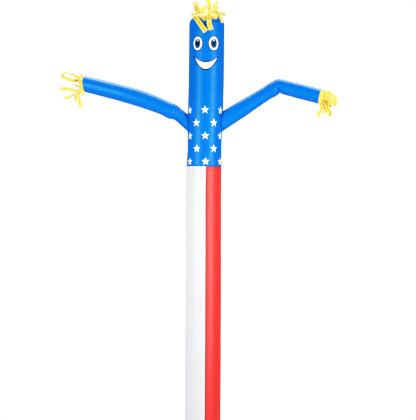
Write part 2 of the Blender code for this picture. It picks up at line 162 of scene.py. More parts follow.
def strip(angle, reach, root_width, tip_width, turns, points, gold=0.25):
    """A streamer from sizes in millimetres."""
    places = [Vector([value / 1000 for value in point]) for point in points]
    return Streamer(angle, reach / 1000, root_width / 1000, tip_width / 1000, turns, places, gold)


LEFT_STREAMERS = [
    strip(8, 52, 36, 42, (5, 15, 70, 40, 15, 15, 20), [
        (-110, 4, 100), (-183, -8, 142), (-238, -12, 158), (-288, -6, 136), (-302, 6, 108),
        (-256, 24, 80), (-200, 32, 62), (-146, 30, 50)]),
    strip(112, 62, 26, 28, (20, 40, 60), [
        (-98, -22, -30), (-122, -36, -14), (-146, -40, 0), (-174, -36, -6)]),
    strip(160, 60, 32, 44, (50, 20, 0), [
        (-108, -10, -78), (-148, -22, -86), (-178, -26, -70), (-240, -20, -60), (-332, -4, -60)]),
    strip(178, 55, 30, 36, (60, 30, 10), [
        (-104, 22, -112), (-156, 12, -134), (-200, 4, -164), (-242, 0, -174), (-280, 4, -162)]),
    strip(198, 50, 30, 38, (20, 10, 20), [(-82, 56, -112), (-104, 64, -156), (-114, 64, -224)]),
    strip(146, 46, 34, 46, (15, -15, 10), [
        (-72, -50, -108), (-80, -58, -160), (-66, -56, -240), (-54, -50, -318)]),
    strip(124, 36, 34, 36, (0, 10, 0), [(-30, -94, -96), (-14, -98, -146)]),
    strip(300, 55, 34, 34, (10, 20, 10), [
        (-110, 116, 60), (-162, 138, 62), (-214, 144, 74), (-262, 144, 92)]),
    strip(245, 55, 36, 42, (-20, 0, 20), [(-96, 122, -70), (-126, 138, -130), (-142, 140, -204)]),
    strip(350, 40, 28, 30, (15, 0, 0), [(-44, 34, 116), (-52, 40, 134)]),
]
RIGHT_STREAMERS = [
    strip(352, 52, 50, 60, (65, 35, 25, 20, 20), [
        (98, -8, 40), (146, -16, 14), (180, -20, -14), (200, -16, -46), (192, -12, -84)]),
    strip(50, 55, 50, 66, (0, -15, 0), [
        (106, -86, 34), (146, -98, 0), (170, -98, -46), (178, -90, -94), (174, -82, -136)]),
    strip(92, 55, 50, 64, (0, 15, 0), [
        (92, -122, -32), (120, -144, -54), (135, -142, -84), (136, -132, -114)]),
    strip(140, 58, 32, 42, (10, -20, 20), [
        (78, -78, -108), (86, -86, -150), (116, -86, -192), (128, -82, -228), (106, -80, -260)], 0.95),
    strip(180, 48, 36, 42, (-65, -40, -5), [(36, -40, -126), (50, -60, -168), (48, -68, -236)], 0.0),
    strip(150, 24, 30, 42, (10, 20, 0), [
        (4, -82, -124), (6, -90, -168), (-14, -90, -214), (-46, -84, -270)]),
    strip(318, 55, 46, 56, (0, 20, 0), [(112, 52, 50), (158, 60, 14), (184, 58, -44)]),
    strip(262, 55, 40, 54, (-10, 0, 10), [(108, 98, -10), (150, 112, -56), (156, 108, -122)]),
    strip(220, 52, 36, 42, (0, 20, 0), [(66, 74, -106), (88, 84, -158), (106, 80, -206)]),
    strip(60, 69, 38, 60, (0, 10, 0), [(116, -48, -4), (150, -54, -50), (160, -48, -106)]),
    strip(135, 66, 38, 54, (0, -10, 0), [(90, -50, -74), (112, -54, -114), (120, -52, -150)]),
]
HAIR_STREAMERS = [
    strip(-140, 195, 46, 56, (55, 25, 8, 6), [
        (-162, -170, -13), (-132, -220, -56), (-96, -246, -105), (-54, -260, -163),
        (-13, -260, -219)], 0.8),
    strip(-82, 170, 46, 52, (0, 5, 0), [
        (24, -200, 28), (28, -252, -50), (34, -260, -128), (56, -256, -196)], 0.65),
    strip(-50, 90, 40, 36, (20, -10, -40), [
        (74, -86, 78), (106, -96, 74), (144, -118, 36), (182, -146, -28), (202, -162, -94)]),
    strip(172, 112, 44, 66, (0, 20, 0), [(-122, 18, 76), (-138, 22, 130), (-160, 26, 196)]),
    strip(-157, 110, 40, 46, (20, 40, 20), [(-124, -62, 52), (-162, -80, 32), (-204, -86, 22)]),
    strip(-150, 72, 46, 58, (0, 20, 30), [(-62, -44, 76), (-38, -50, 108), (0, -52, 138)]),
    strip(-5, 50, 42, 46, (0, 25, 0), [(38, -4, 106), (30, -4, 168), (18, -2, 234)]),
    strip(18, 92, 38, 44, (0, 20, 0), [(86, 34, 104), (106, 40, 160), (136, 44, 206)]),
    strip(12, 135, 34, 36, (30, 50, 30), [(150, 26, 60), (190, 30, 52), (240, 28, 26)]),
    strip(122, 170, 46, 52, (0, -10, 0), [(-100, 180, 22), (-120, 236, -42), (-114, 250, -126)]),
    strip(84, 170, 46, 52, (0, 5, 0), [(16, 204, 26), (22, 256, -46), (20, 262, -142)]),
    strip(50, 130, 40, 44, (0, 20, 0), [(96, 116, 84), (118, 124, 124), (146, 122, 150)]),
    strip(132, 120, 42, 48, (0, -20, 0), [(-88, 96, 84), (-118, 106, 128), (-142, 112, 168)]),
]

# Cloth and sewing. The cloths are drawn thicker than the real 0.1 mm, so that they meet at the seams
NYLON_THICKNESS = 0.0012
PANEL_THICKNESS = 0.0016
STREAMER_THICKNESS = 0.0009
STREAMER_EASE = 1.2
STREAMER_STEPS = 9
# Width of the painted light along a strip's edges and tip
STREAMER_LIT_EDGE = 0.011
# Painted orange shade laid on all the hands' strips, on top of each strip's own
HAND_ORANGE_SHADE = 0.30
WELD = 0.00001
FELL_WIDTH = 0.013
ALLOWANCE_WIDTH = 0.0195
FELL_HEIGHT = 0.0016
HEM_DIP = 0.0012
PANEL_INSET = 0.0007
PANEL_CROWDING = 0.045
PANEL_MOST_LIFT = 0.004
# Gathers that a seam pulls into the cloth beside it: how deep they are, and how far they reach
Puckers = namedtuple("Puckers", "depth reach")
CHEST_PUCKERS = Puckers(0.0026, 0.045)
CROWN_PUCKERS = Puckers(0.0040, 0.030)
BACK_PUCKERS = Puckers(0.0022, 0.040)
PANEL_TOP_PUCKERS = Puckers(0.0026, 0.040)
PANEL_SIDE_PUCKERS = Puckers(0.0032, 0.030)
SLEEVE_PUCKERS = Puckers(0.0020, 0.030)
ARMHOLE_FOLD_HEIGHT = 0.0042
ARMHOLE_FOLD_REACH = 0.055
ARMHOLE_GAP = 0.0015
Armhole = namedtuple("Armhole", "bearing height radius")
ARMHOLES = [Armhole(math.pi, 4.720, 0.098), Armhole(0.0, 4.736, 0.124)]

# A corner of cloth: its place, its place on the flat cloth, how much painted shade it carries, and how
# much painted light it carries at a cut edge or rim
Spot = namedtuple("Spot", "point across up fold edge", defaults=(0.0, 0.0))


# Curves and waves

def smooth_at(places, values, place):
    """The value at a place on a smooth curve through values that stand at rising places."""
    last = len(places) - 1
    index = min(max(bisect(places, place) - 1, 0), last - 1)
    reach = places[index + 1] - places[index]
    t = min(max((place - places[index]) / reach, 0.0), 1.0)
    slopes = []
    for at in (index, index + 1):
        before, after = max(at - 1, 0), min(at + 1, last)
        slopes.append((values[after] - values[before]) * (reach / (places[after] - places[before])))
    return (
        values[index] * ((1 + 2 * t) * (1 - t) ** 2)
        + slopes[0] * (t * (1 - t) ** 2)
        + values[index + 1] * (t * t * (3 - 2 * t))
        - slopes[1] * (t * t * (1 - t))
    )


def between(values, share):
    """The value at a share of the way along evenly spaced ones."""
    place = share * (len(values) - 1)
    index = min(int(place), len(values) - 2)
    return values[index] + (values[index + 1] - values[index]) * (place - index)


def even(low, high, steps):
    """Evenly spaced values, both ends among them."""
    return [low + (high - low) * step / steps for step in range(steps + 1)]


def wave(point, size):
    """A smooth value from -1 to 1 that changes over about size metres, or over a size for each axis."""
    if isinstance(size, float):
        return noise.noise(point / size)
    return noise.noise(Vector([value / part for value, part in zip(point, size)]))


def near(distance, width):
    """1 on a line, nothing a few widths from it."""
    return math.exp(-((distance / width) ** 2))


def fading(distance, width):
    """1 on a line, falling away slowly from it."""
    return math.exp(-abs(distance) / width)


def turned(angle):
    """An angle brought to between half a turn either way."""
    return (angle + math.pi) % math.tau - math.pi


# Sheets

def add_cloth(shape, columns, rows, spot):
    """Adds a fine grid of cloth to a shape, each of its corners where spot puts it."""
    cut = shape.loops.layers.uv.get("Cloth") or shape.loops.layers.uv.new("Cloth")
    # Each corner keeps its painted shade and its painted light at edges for the shader
    fold = shape.verts.layers.float.get("fold") or shape.verts.layers.float.new("fold")
    edge = shape.verts.layers.float.get("edge") or shape.verts.layers.float.new("edge")
    made = bmesh.ops.create_grid(shape, x_segments=columns, y_segments=rows, size=1.0)
    spots = {}
    for vertex in made["verts"]:
        column = round((vertex.co.x + 1) / 2 * columns)
        row = round((vertex.co.y + 1) / 2 * rows)
        spots[vertex] = spot(column, row)
    for vertex, placed in spots.items():
        vertex.co = placed.point
        vertex[fold] = placed.fold
        vertex[edge] = placed.edge
    for face in {face for vertex in spots for face in vertex.link_faces}:
        for loop in face.loops:
            loop[cut].uv = (spots[loop.vert].across, spots[loop.vert].up)


def finish_piece(name, shape, thickness, offset):
    """Makes a piece of a shape. Its cloth lies inside the shape at offset -1, half and half at 0."""
    bmesh.ops.remove_doubles(shape, verts=shape.verts, dist=WELD)
    mesh = bpy.data.meshes.new(name)
    shape.to_mesh(mesh)
    shape.free()
    mesh.shade_smooth()
    piece = bpy.data.objects.new(name, mesh)
    bpy.context.scene.collection.objects.link(piece)
    cloth = piece.modifiers.new("Cloth", "SOLIDIFY")
    cloth.thickness = thickness
    cloth.offset = offset
    return piece


def sew(name, columns, rows, spot, thickness):
    """One piece of cloth. It lies inside the surface that spot gives."""
    shape = bmesh.new()
    add_cloth(shape, columns, rows, spot)
    return finish_piece(name, shape, thickness, -1.0)


# Body

class Profile:
    """The body's axis and radius at any height."""

    def __init__(self, sections):
        self.heights = [section.height for section in sections]
        self.values = [Vector((section.shift, section.radius)) for section in sections]

    def at(self, height):
        return smooth_at(self.heights, self.values, height)

    def point(self, bearing, height, lift=0.0):
        shift, radius = self.at(height)
        radius += lift
        return Vector((shift + radius * math.cos(bearing), radius * math.sin(bearing), height))


UPPER = Profile(UPPER_BODY)
LOWER = Profile(LOWER_BODY)


def body_sway(point):
    """The tube is never quite round while air rushes through it."""
    return 0.0016 * wave(point, (0.16, 0.16, 0.60)) + 0.0007 * wave(point, (0.05, 0.05, 0.30))


def ring_puckers(point, distance, puckers):
    """Short upright puckers that a seam round the body gathers, and the dip of its stitches."""
    gathers = wave(point, (0.017, 0.017, 0.20)) * fading(distance, puckers.reach)
    return puckers.depth * (gathers - 0.6 * near(distance, 0.006))


def side_puckers(point, distance, puckers):
    """Short level puckers that an upright seam gathers, and the dip of its stitches."""
    gathers = wave(point, (0.20, 0.20, 0.021)) * fading(distance, puckers.reach)
    return puckers.depth * (gathers - 1.3 * near(distance, 0.008))


def armhole_folds(bearing, height):
    """Folds that fan out from each sleeve's root."""
    lift = 0.0
    for armhole in ARMHOLES:
        across = CLOTH_RADIUS * turned(bearing - armhole.bearing)
        up = height - armhole.height
        beyond = math.hypot(across, up) - armhole.radius
        clock = math.atan2(across, up)
        fan = math.cos(9 * clock + 2.2 * math.sin(3 * clock + armhole.bearing))
        fan *= fading(max(beyond, 0.0), ARMHOLE_FOLD_REACH) * (1 - near(beyond, 0.012))
        stitches = 0.0012 * near(beyond, 0.010)
        lift += ARMHOLE_FOLD_HEIGHT * fan - stitches
    return lift


def make_blue_tube():
    """The chest and head: one tube from the chest seam to the crown, joined by a seam at its back."""
    columns = 168
    heights = even(CHEST_SEAM + SEAM_GAP, 6.0, 112) + even(6.0, 6.082, 16)[1:]

    def spot(column, row):
        bearing = BACK + math.tau * (column % columns) / columns
        height = heights[row]
        plain = UPPER.point(bearing, height)
        lift = body_sway(plain) + armhole_folds(bearing, height)
        lift += ring_puckers(plain, height - heights[0], CHEST_PUCKERS)
        lift += ring_puckers(plain, heights[-1] - height, CROWN_PUCKERS)
        lift += side_puckers(plain, CLOTH_RADIUS * turned(bearing - BACK), BACK_PUCKERS)
        across = CLOTH_RADIUS * (math.tau * column / columns + BACK - FRONT - math.tau)
        return Spot(UPPER.point(bearing, height, lift), across, height)

    return sew("blue_tube_cloth", columns, len(heights) - 1, spot, NYLON_THICKNESS)


def make_crown():
    """The round top, its edge turned down and gathered into the tube's."""
    columns, rows = 96, 20
    rims = [Vector(row) for row in CROWN]

    def spot(column, row):
        bearing = math.tau * (column % columns) / columns
        radius, height = smooth_at(range(len(rims)), rims, (len(rims) - 1) * row / rows)
        gathers = math.cos(31 * bearing) * fading(CROWN[0].radius - radius, 0.03)
        height += 0.0012 * gathers
        point = Vector((HEAD_SHIFT + radius * math.cos(bearing), radius * math.sin(bearing), height))
        return Spot(point, radius * math.cos(bearing), radius * math.sin(bearing))

    return sew("crown_cloth", columns, rows, spot, NYLON_THICKNESS)


def make_lower_panel(name, start):
    """Half of the lower body. Its columns crowd towards its upright edges, which dip into the seams."""
    columns = 76
    inset = PANEL_INSET / CLOTH_RADIUS
    heights = even(0.0, HEM_HEIGHT, 4) + even(HEM_HEIGHT, 4.0, 198)[1:]
    heights += even(4.0, CHEST_SEAM - SEAM_GAP, 12)[1:]

    def spot(column, row):
        share = column / columns
        share -= PANEL_CROWDING * math.sin(math.tau * share)
        bearing = start + inset + (math.pi - 2 * inset) * share
        height = heights[row]
        plain = LOWER.point(bearing, height)
        from_edge = CLOTH_RADIUS * math.pi * min(share, 1 - share)
        lift = body_sway(plain)
        lift += ring_puckers(plain, CHEST_SEAM - height, PANEL_TOP_PUCKERS)
        lift += side_puckers(plain, from_edge, PANEL_SIDE_PUCKERS)
        lift += FELL_HEIGHT * near(CHEST_SEAM - FELL_WIDTH / 2 - height, FELL_WIDTH / 2)
        lift -= HEM_DIP * near(height - HEM_HEIGHT, 0.008)
        lift = min(lift, PANEL_MOST_LIFT if height > HEM_HEIGHT else 0.0)
        return Spot(LOWER.point(bearing, height, lift), CLOTH_RADIUS * math.pi * share, height)

    return sew(name, columns, len(heights) - 1, spot, PANEL_THICKNESS)


# Sleeves

Station = namedtuple("Station", "centre radius along plane distance")
SLEEVE_RADIUS = 0.100
SLEEVE_SEAM = math.radians(200)
SLEEVE_SPACING = 0.0125
SLEEVE_ROOT_ROWS = 9
ELBOW_TURN = 0.045
# Places are distances along a sleeve. Top is the belly's share at its upper side, clock a bend's inside
Belly = namedtuple("Belly", "place height width top")
LEFT_BELLY = Belly(0.355, 0.016, 0.085, 0.35)
RIGHT_BELLY = Belly(0.480, 0.006, 0.220, 1.00)
Crease = namedtuple("Crease", "place clock groove pinch depth pitch reach")
LEFT_CREASE = Crease(0.235, math.radians(262), 0.0, 0.0, 0.0062, 0.031, 0.090)
RIGHT_CREASE = Crease(1.048, math.radians(180), 0.0045, 0.003, 0.0060, 0.042, 0.050)


def stations(stretches, wrist_direction):
    """Even steps along a sleeve. At an elbow and at the wrist the rings turn towards the seam there."""
    found = []
    distance = 0.0
    joints = []
    for stretch in stretches:
        rows = [Vector(row) for row in stretch]
        length = sum((b.xyz - a.xyz).length for a, b in zip(rows, rows[1:]))
        steps = round(length / SLEEVE_SPACING)
        path = [smooth_at(range(len(rows)), rows, place) for place in even(0, len(rows) - 1, steps)]
        for index, row in enumerate(path):
            after, before = path[min(index + 1, steps)], path[max(index - 1, 0)]
            if index:
                distance += (row.xyz - before.xyz).length
            along = (after.xyz - before.xyz).normalized()
            if index == 0 and found:
                joints.append((distance, (found[-1].along + along).normalized()))
                continue
            found.append(Station(row.xyz, row.w, along, along, distance))
    last = found[-1]
    for reach in (WRIST_HEM / 2, WRIST_HEM):
        found.append(Station(
            last.centre + wrist_direction * reach, last.radius, wrist_direction, wrist_direction,
            last.distance + reach,
        ))
    joints.append((last.distance, wrist_direction))
    settled = []
    for station in found:
        plane = station.plane
        for place, seam in joints:
            plane = plane.lerp(seam, near(station.distance - place, ELBOW_TURN)).normalized()
        settled.append(station._replace(plane=plane))
    return settled


def ring_point(station, clock, lift):
    """A point at a clock angle, 0 at the top, slid along the sleeve on to the ring's plane."""
    up = (Vector((0, 0, 1)) - station.along * station.along.z).normalized()
    out = station.along.cross(up)
    arm = (up * math.cos(clock) + out * math.sin(clock)) * (station.radius + lift)
    slide = -arm.dot(station.plane) / station.along.dot(station.plane)
    return station.centre + arm + station.along * slide


def clearance(point):
    """How far a point is outside the chest's cloth."""
    shift, radius = UPPER.at(point.z)
    return math.hypot(point.x - shift, point.y) - radius - ARMHOLE_GAP


def make_sleeve(name, stretches, wrist_direction, belly, crease):
    """A tube from the armhole to the wrist's hem. Its first rows close the way to the chest's curve."""
    columns = 84
    clocks = even(0.0, math.tau, 12)
    rings = stations(stretches, wrist_direction)
    clear = next(
        index for index, station in enumerate(rings)
        if all(clearance(ring_point(station, clock, 0.0)) > 0.02 for clock in clocks)
    )
    wrist_at = rings[-1].distance

    def lift_at(station, clock):
        point = station.centre + Vector((0, math.sin(clock), math.cos(clock))) * station.radius
        from_wrist = wrist_at - station.distance
        wrinkles = 0.0014 * wave(point, 0.12) + 0.0008 * wave(point, (0.10, 0.03, 0.03))
        gathers = math.cos(17 * clock + 3 * wave(point, 0.2)) * fading(from_wrist, 0.05)
        hem = 0.0010 * near(from_wrist - WRIST_HEM / 2, WRIST_HEM / 2)
        hem_stitches = 0.0014 * near(from_wrist - WRIST_HEM, 0.004)
        from_seam = station.radius * turned(clock - SLEEVE_SEAM)
        lift = wrinkles + 0.0012 * gathers + hem - hem_stitches
        lift += side_puckers(Vector((0, 0, station.distance)), from_seam, SLEEVE_PUCKERS)
        lift += belly_lift(belly, station.distance - belly.place, clock)
        return lift + crease_lift(crease, station.distance - crease.place, clock)

    def root_point(clock):
        """Where the sleeve's cloth meets the chest, on the line between its first rings."""
        inner = ring_point(rings[0], clock, 0.0)
        outer = ring_point(rings[clear], clock, 0.0)
        low, high = 0.0, 1.0
        for _ in range(24):
            middle = (low + high) / 2
            if clearance(inner.lerp(outer, middle)) > 0:
                high = middle
            else:
                low = middle
        return inner.lerp(outer, high)

    def spot(column, row):
        clock = math.tau * (column % columns) / columns
        across = SLEEVE_RADIUS * math.tau * column / columns
        if row >= SLEEVE_ROOT_ROWS:
            station = rings[clear + row - SLEEVE_ROOT_ROWS]
            return Spot(ring_point(station, clock, lift_at(station, clock)), across, station.distance)
        station = rings[clear]
        share = row / SLEEVE_ROOT_ROWS
        end = ring_point(station, clock, lift_at(station, clock) * share)
        root = root_point(clock)
        point = root.lerp(end, share)
        from_centre = point - station.centre
        outwards = (from_centre - station.along * from_centre.dot(station.along)).normalized()
        from_root = (point - root).length
        gathers = math.cos(15 * clock + 2 * math.sin(2 * clock))
        gathers *= fading(from_root, 0.03) * (1 - near(row, 0.6))
        point = point + outwards * (0.0022 * gathers + 0.0015 * near(from_root, 0.006))
        return Spot(point, across, station.distance - (end - point).length)

    rows = SLEEVE_ROOT_ROWS + len(rings) - 1 - clear
    return sew(name, columns, rows, spot, NYLON_THICKNESS)


def belly_lift(belly, distance, clock):
    """Air fills a sleeve out past its root, most of all at its underside."""
    under = 0.5 - 0.5 * math.cos(clock)
    return belly.height * (belly.top + (1 - belly.top) * under) * near(distance, belly.width)


def crease_lift(crease, distance, clock):
    """A bend's inner side is pinched, and ridges run from it round the sleeve."""
    inner = 0.5 + 0.5 * math.cos(clock - crease.clock)
    skew = distance + 0.016 * math.sin(2 * clock + 0.7)
    ridges = math.cos(math.tau * skew / crease.pitch) * fading(distance, crease.reach)
    bend = crease.pinch * inner * inner * near(distance, 0.026) + crease.groove * near(distance, 0.009)
    return crease.depth * (0.35 + 0.65 * inner) * ridges - bend


# Streamers

def streamer_frames(streamer, root, middle):
    """At each step: centre, directions across and out of the cloth, half width and length so far."""
    points = [root] + [middle + point for point in streamer.points]
    count = STREAMER_STEPS * (len(points) - 1)
    line = [smooth_at(range(len(points)), points, place) for place in even(0, len(points) - 1, count)]
    frames = []
    length = 0.0
    for index, point in enumerate(line):
        share = index / count
        if index:
            length += (point - line[index - 1]).length
        along = (line[min(index + 1, count)] - line[max(index - 1, 0)]).normalized()
        facing = Vector((0, -1, 0)) + along * along.y
        across = along.cross(facing).normalized()
        turn = math.radians(between(streamer.turns, share))
        half = across * math.cos(turn) + along.cross(across) * math.sin(turn)
        width = STREAMER_EASE * (streamer.root_width + (streamer.tip_width - streamer.root_width) * share)
        frames.append((point, half, half.cross(along), width / 2, length))
    return frames


def add_streamer(shape, streamer, root, middle, curl):
    """A cut strip: curled across, crumpled past its root, with painted light that makes it pale where
    light comes through its edges and tip, and painted orange shade.
    """
    columns = 12
    frames = streamer_frames(streamer, root, middle)
    full = frames[-1][4]

    def spot(column, row):
        point, half, face, reach, length = frames[row]
        side = 2 * column / columns - 1
        free = 1 - fading(length, 0.03)
        place = point + half * reach * side
        ragged = 1 + 0.07 * wave(place, 0.035)
        crease = near(wave(place, 0.030), 0.10)
        crumple = 0.0058 * wave(place, 0.032) + 0.0018 * wave(place, 0.013) - 0.0022 * crease
        bow = curl * reach * (side * side - 0.4)
        # Painted light: pale along the strip's edges and at its tip, where light would come through
        hem = 1 - min((1 - abs(side)) * reach / STREAMER_LIT_EDGE, 1.0)
        tip = 1 - min((full - length) / STREAMER_LIT_EDGE, 1.0)
        # Painted shade: orange in the strip's middle, in random patches, in its creases and near its root
        shade_patches = 0.5 + 0.5 * wave(place, 0.034)
        shade = streamer.gold * (1 - side * side) * (0.4 + 1.2 * shade_patches)
        shade += 0.25 * crease * streamer.gold + 0.15 * fading(length, 0.035)
        return Spot(
            point + half * reach * side * ragged + face * free * (bow + crumple),
            reach * side, length, min(shade, 1.0), max(hem, tip),
        )

    add_cloth(shape, columns, len(frames) - 1, spot)


def make_streamers(name, streamers, root, middle, more_orange_shade=0.0):
    """One piece of all a tassel's strips. Root gives the place where a strip is sewn on."""
    shape = bmesh.new()
    for number, streamer in enumerate(streamers):
        curl = 0.16 if number % 2 else -0.14
        # Deepens each strip's painted orange shade
        streamer = streamer._replace(gold=streamer.gold + more_orange_shade)
        add_streamer(shape, streamer, root(streamer), middle, curl)
    return finish_piece(name, shape, STREAMER_THICKNESS, 0.0)


# Hands

CUFF_ROWS = [Vector(row) for row in CUFF]


def cuff_share(reach):
    """The cuff's share of the wrist's radius at a reach along the arm."""
    for low, high in zip(CUFF_ROWS, CUFF_ROWS[1:]):
        if reach <= high.x:
            return low.lerp(high, (reach - low.x) / max(high.x - low.x, WELD)).y
    return CUFF_ROWS[-1].y


def make_hand(side, stretches, wrist_direction, streamers):
    """A cuff gathered shut over the wrist's end, and the strips sewn on it."""
    end = stretches[-1][-1]
    wrist = Vector(end[:3]) + wrist_direction * WRIST_HEM
    up = (Vector((0, 0, 1)) - wrist_direction * wrist_direction.z).normalized()
    out = wrist_direction.cross(up)
    columns, rows = 120, 21

    def spot(column, row):
        clock = math.tau * (column % columns) / columns
        place = (len(CUFF_ROWS) - 1) * row / rows
        reach, share, pleat = smooth_at(range(len(CUFF_ROWS)), CUFF_ROWS, place)
        gather = 0.5 + 0.5 * math.cos(20 * clock + 1.5 * math.sin(3 * clock))
        radius = end.radius * share * (1 - 1.6 * pleat * (1 - gather))
        point = wrist + wrist_direction * reach + (up * math.cos(clock) + out * math.sin(clock)) * radius
        # Painted shade: orange in the pleats' hollows, deeper further out, and in random patches
        shade_patches = max(wave(point, 0.030), 0.0) * min(reach / 0.010, 1.0)
        return Spot(point, end.radius * clock, reach, min((1 - gather) * reach / 0.04 + shade_patches, 1.0))

    cuff = sew(f"cuff_{side}", columns, rows, spot, NYLON_THICKNESS)
    middle = wrist + wrist_direction * CUFF_ROOT_REACH
    towards_viewer = out if out.y < 0 else -out

    def root(streamer):
        clock = math.radians(streamer.angle)
        radius = end.radius * cuff_share(streamer.reach)
        outside = wrist + wrist_direction * streamer.reach
        outside += (up * math.cos(clock) + towards_viewer * math.sin(clock)) * radius
        return outside + (middle - outside).normalized() * 0.004

    return cuff, make_streamers(f"streamers_{side}", streamers, root, wrist, HAND_ORANGE_SHADE)


# Hair

def cap_profile(reach):
    """Radius, height and ruffle at a distance along the cap's cloth from its middle."""
    for low, high in zip(CAP, CAP[1:]):
        length = math.hypot(high.radius - low.radius, high.height - low.height)
        if reach <= length:
            break
        reach -= length
    return Vector(low).lerp(Vector(high), min(reach / length, 1.0))


def cap_point(bearing, reach):
    """A place on the cap's cloth, ruffled round the head."""
    radius, height, ruffle = cap_profile(reach)
    radius += ruffle * math.cos(CAP_LOBES * (bearing - CAP_LOBE_BEARING))
    return Vector((HEAD_SHIFT + radius * math.cos(bearing), radius * math.sin(bearing), height))


def cap_edge(bearing):
    """How far the cap's cloth reaches from its middle: an oval with a scalloped edge."""
    oval = -CAP_OVAL * math.cos(2 * bearing)
    return CAP_REACH + oval + CAP_SCALLOP * math.cos(CAP_LOBES * (bearing - CAP_LOBE_BEARING))


def make_hair():
    """The ruffled cap, sewn down on the crown's middle, and the strips sewn on it."""
    columns, rows = 300, 44

    def spot(column, row):
        bearing = math.tau * (column % columns) / columns
        share = 1 - row / rows
        reach = cap_edge(bearing) * share
        place = cap_point(bearing, reach)
        lobe = CAP_LOBES * (bearing - CAP_LOBE_BEARING)
        valley = 0.5 - 0.5 * math.cos(lobe)
        pleat = math.cos(3 * lobe + 2.5 * wave(place, 0.09))
        loose = share * share
        outwards = Vector((math.cos(bearing), math.sin(bearing), 0.9)).normalized()
        lift = loose * (0.0030 + 0.0016 * pleat + 0.0030 * wave(place, 0.040))
        # Painted shade: deeper orange towards the cap's rim, in the valleys between its lobes and in its
        # pleats, over a random tone
        shade = 0.12 + 0.35 * loose ** 3 + 0.75 * valley * loose ** 2 + 0.5 * wave(place, 0.075)
        shade += 0.15 * (0.5 - 0.5 * pleat) * loose
        # Painted highlight: a pale line along the cap's rim
        hem = 1 - min((1 - share) * cap_edge(bearing) / CAP_LIT_RIM, 1.0)
        return Spot(place + outwards * lift, CLOTH_RADIUS * bearing, reach, min(max(shade, 0.0), 1.0), hem)

    cap = sew("hair_cap", columns, rows, spot, NYLON_THICKNESS)
    middle = Vector((HEAD_SHIFT, 0, CROWN_TOP))

    def root(streamer):
        return cap_point(math.radians(streamer.angle), streamer.reach) + Vector((0, 0, 0.002))

    return cap, make_streamers("hair_streamers", HAIR_STREAMERS, root, middle)


# Materials

def linear(code):
    """An sRGB hex colour as the linear values that shaders take."""
    values = [int(code[place:place + 2], 16) / 255 for place in (1, 3, 5)]
    return (*[v / 12.92 if v <= 0.04045 else ((v + 0.055) / 1.055) ** 2.4 for v in values], 1.0)


def add(tree, kind, inputs, **settings):
    """A node with its settings. Its inputs take values, sockets, or nodes for their first output."""
    node = tree.nodes.new("ShaderNode" + kind)
    for name, value in settings.items():
        setattr(node, name, value)
    for name, value in inputs.items() if isinstance(inputs, dict) else enumerate(inputs):
        if isinstance(value, bpy.types.Node):
            value = value.outputs[0]
        if isinstance(value, bpy.types.NodeSocket):
            tree.links.new(value, node.inputs[name])
        else:
            node.inputs[name].default_value = value
    return node


# Coated nylon: plain woven 0.1 mm cloth with a smooth polyurethane coat. It looks like a satin skin:
# broad soft highlights, fine crinkles from packing, and rip-stop threads that show close up, 0.6 mm
# wide and 6 mm apart.
NYLON_IOR = 1.53
NYLON_ROUGHNESS = 0.42
CLOTH_GLOSS = 0.42
INK_GLOSS = 0.08
RIPSTOP_PITCH = 0.006
RIPSTOP_THREAD = 0.1
RIPSTOP_HEIGHT = 0.00004
CRINKLE_SIZE = 0.045
CRINKLE_HEIGHT = 0.0016
STREAMER_CRINKLE_HEIGHT = 0.0024
MOTTLE_SIZE = 0.05
DYE_PATCH_SIZE = 0.55
# The coat is dyed with the cloth, so a lamp's reflection in it takes the cloth's colour
BLUE = "#0069CE"
BLUE_SHINE = (0.30, 0.80, 0.80, 1.0)
RED = "#F33C3A"
# Painted shadow of the seam's groove along the red's edges
RED_SEAM_SHADOW = "#C93A38"
WHITE = "#DDDEE3"
WHITE_SEAM = "#FBFBFD"
PANEL_SHINE = (0.55, 0.55, 0.55, 1.0)
YELLOW = "#FDE45A"
PALE_YELLOW = "#FFFAAE"
# The orange of painted shade in folds, creases and shaded strips
PAINTED_SHADE_ORANGE = "#EBAC1A"
YELLOW_SHINE = (0.80, 0.75, 0.35, 1.0)
YELLOW_GLOW = 0.6
YELLOW_GLOW_REACH = 0.002
YELLOW_GLOW_TINT = (1.0, 0.9, 0.5)
INK_SHINE = (1.0, 1.0, 1.0, 1.0)


def start_nylon(name):
    """A new material, its nodes, the place on the flat cloth and the place on the object."""
    material = bpy.data.materials.new(name)
    material.use_nodes = True
    tree = material.node_tree
    cloth = add(tree, "UVMap", {}, uv_map="Cloth")
    place = add(tree, "TexCoord", {}).outputs["Object"]
    return material, tree, cloth, place


